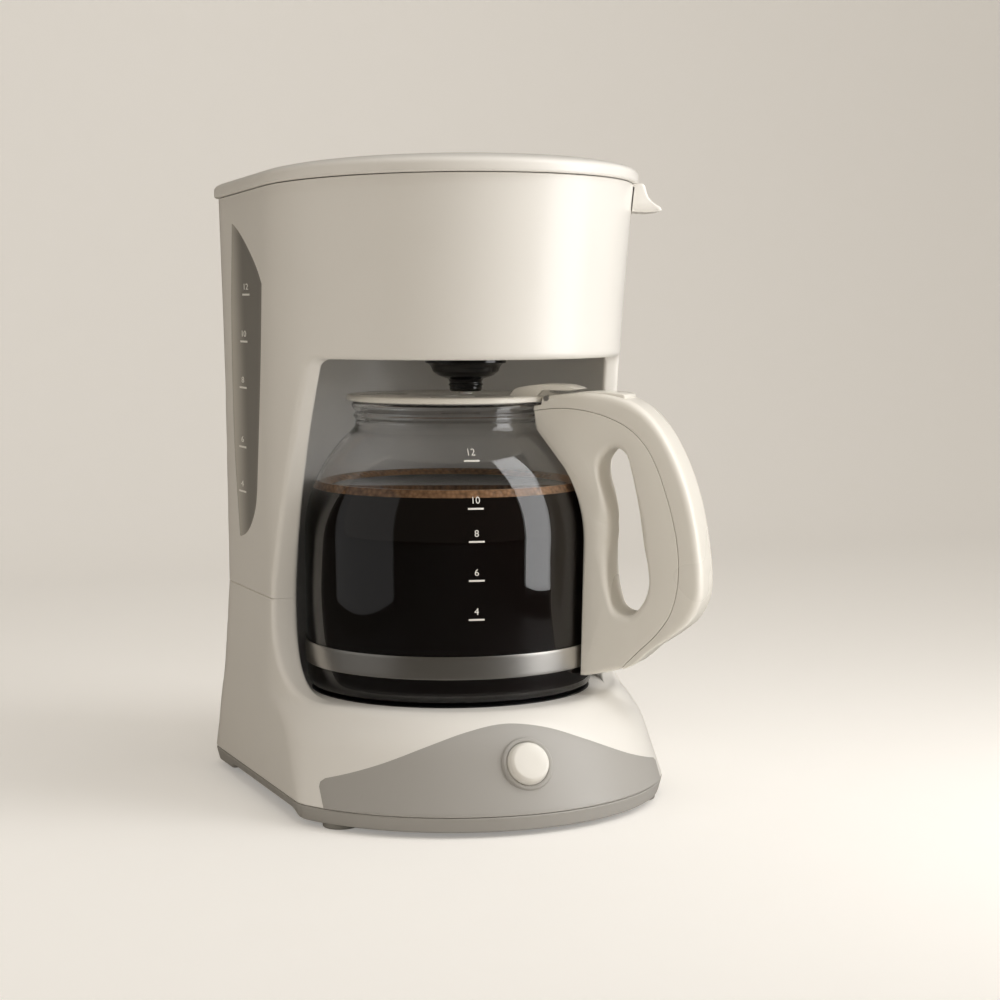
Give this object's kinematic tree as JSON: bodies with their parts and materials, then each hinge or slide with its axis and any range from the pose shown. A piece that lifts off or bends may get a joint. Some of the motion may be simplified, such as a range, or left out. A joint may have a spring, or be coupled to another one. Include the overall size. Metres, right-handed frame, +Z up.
{
  "type": "drip coffee maker",
  "caption": "White drip coffee maker with a grey control panel and base, a leaf-shaped water window, a hinged top lid and a glass carafe on a warming plate",
  "frame": {"origin": "middle of the whole part's bounding box, on the table", "axes": "+Z up, the front with the button faces -Y, the water window is on the -X side"},
  "size_m": [0.2032, 0.2284, 0.3175],
  "materials": {
    "white_abs": "off-white moulded ABS, soft gloss",
    "grey_abs": "mid-grey moulded ABS, satin",
    "window_plastic": "smoky grey moulded window",
    "black_plastic": "black moulded plastic, glossy",
    "natural_plastic": "uncoloured polypropylene",
    "glass": "clear borosilicate glass",
    "bright_steel": "brushed stainless steel",
    "plated_steel": "zinc-plated steel",
    "coated_steel": "black non-stick coating on steel",
    "cast_aluminium": "bare aluminium",
    "rubber": "grey rubber",
    "silicone": "pale silicone"
  },
  "bodies": {
    "machine": {"upper_housing": "white_abs", "lower_housing": "white_abs", "base_pan": "grey_abs", "feet": "rubber", "control_panel": "grey_abs", "button_bezel": "grey_abs", "switch_module": "black_plastic", "button_spring": "bright_steel", "water_window": "window_plastic", "water_tank": "natural_plastic", "top_tray": "natural_plastic", "filter_basket": "natural_plastic", "spray_arm": "natural_plastic", "riser_tube": "silicone", "inlet_hose": "silicone", "check_valve": "natural_plastic", "heating_element": "cast_aluminium", "warming_plate": "coated_steel", "plate_seal": "silicone", "heater_clamp": "plated_steel", "clamp_nut": "plated_steel", "thermostat": "plated_steel", "thermal_fuses": "plated_steel", "drip_nozzle": "black_plastic", "drip_stop_spring": "bright_steel", "drip_stop_cap": "black_plastic", "cord_gland": "black_plastic", "base_screws": "plated_steel", "housing_screws": "plated_steel", "hinge_pins": "bright_steel"},
    "lid": {"lid": "white_abs", "lid_liner": "white_abs"},
    "power_button": {"power_button": "white_abs"},
    "carafe": {"carafe_glass": "glass", "carafe_band": "bright_steel", "carafe_handle": "white_abs", "handle_cover": "white_abs", "handle_screw": "plated_steel", "carafe_lid_pin": "bright_steel"},
    "carafe_lid": {"carafe_lid": "white_abs"},
    "drip_plunger": {"drip_stop_plunger": "natural_plastic", "drip_stop_seal": "silicone"},
    "check_ball": {"check_ball": "natural_plastic"}
  },
  "joints": [
    {"name": "lid_hinge", "type": "hinge", "parent": "machine", "child": "lid", "pos_m": [-0.0055, 0.1106, 0.3036], "axis": [-1, 0, 0], "range_deg": [0, 100]},
    {"name": "power_button_press", "type": "slide", "parent": "machine", "child": "power_button", "axis": [0, 0.8995, -0.4369], "range_m": [0, 0.003], "stiffness_N_per_m": 400, "deforming": ["button_spring"]},
    {"name": "carafe_slide", "type": "slide", "parent": "machine", "child": "carafe", "axis": [0, -1, 0], "range_m": [0, 0.26]},
    {"name": "drip_stop_drop", "type": "slide", "parent": "machine", "child": "drip_plunger", "axis": [0, 0, -1], "range_m": [0, 0.0025], "deforming": ["drip_stop_spring"]},
    {"name": "carafe_lid_hinge", "type": "hinge", "parent": "carafe", "child": "carafe_lid", "pos_m": [0.03516, -0.04112, 0.2], "axis": [0.682, 0.7314, 0], "range_deg": [0, 1]},
    {"name": "check_ball_lift", "type": "slide", "parent": "machine", "child": "check_ball", "axis": [0, 0, 1], "range_m": [0, 0.0015]}
  ],
  "couplings": [
    {"joint": "drip_stop_drop", "follows": "carafe_slide", "ratio": 0.0096}
  ]
}
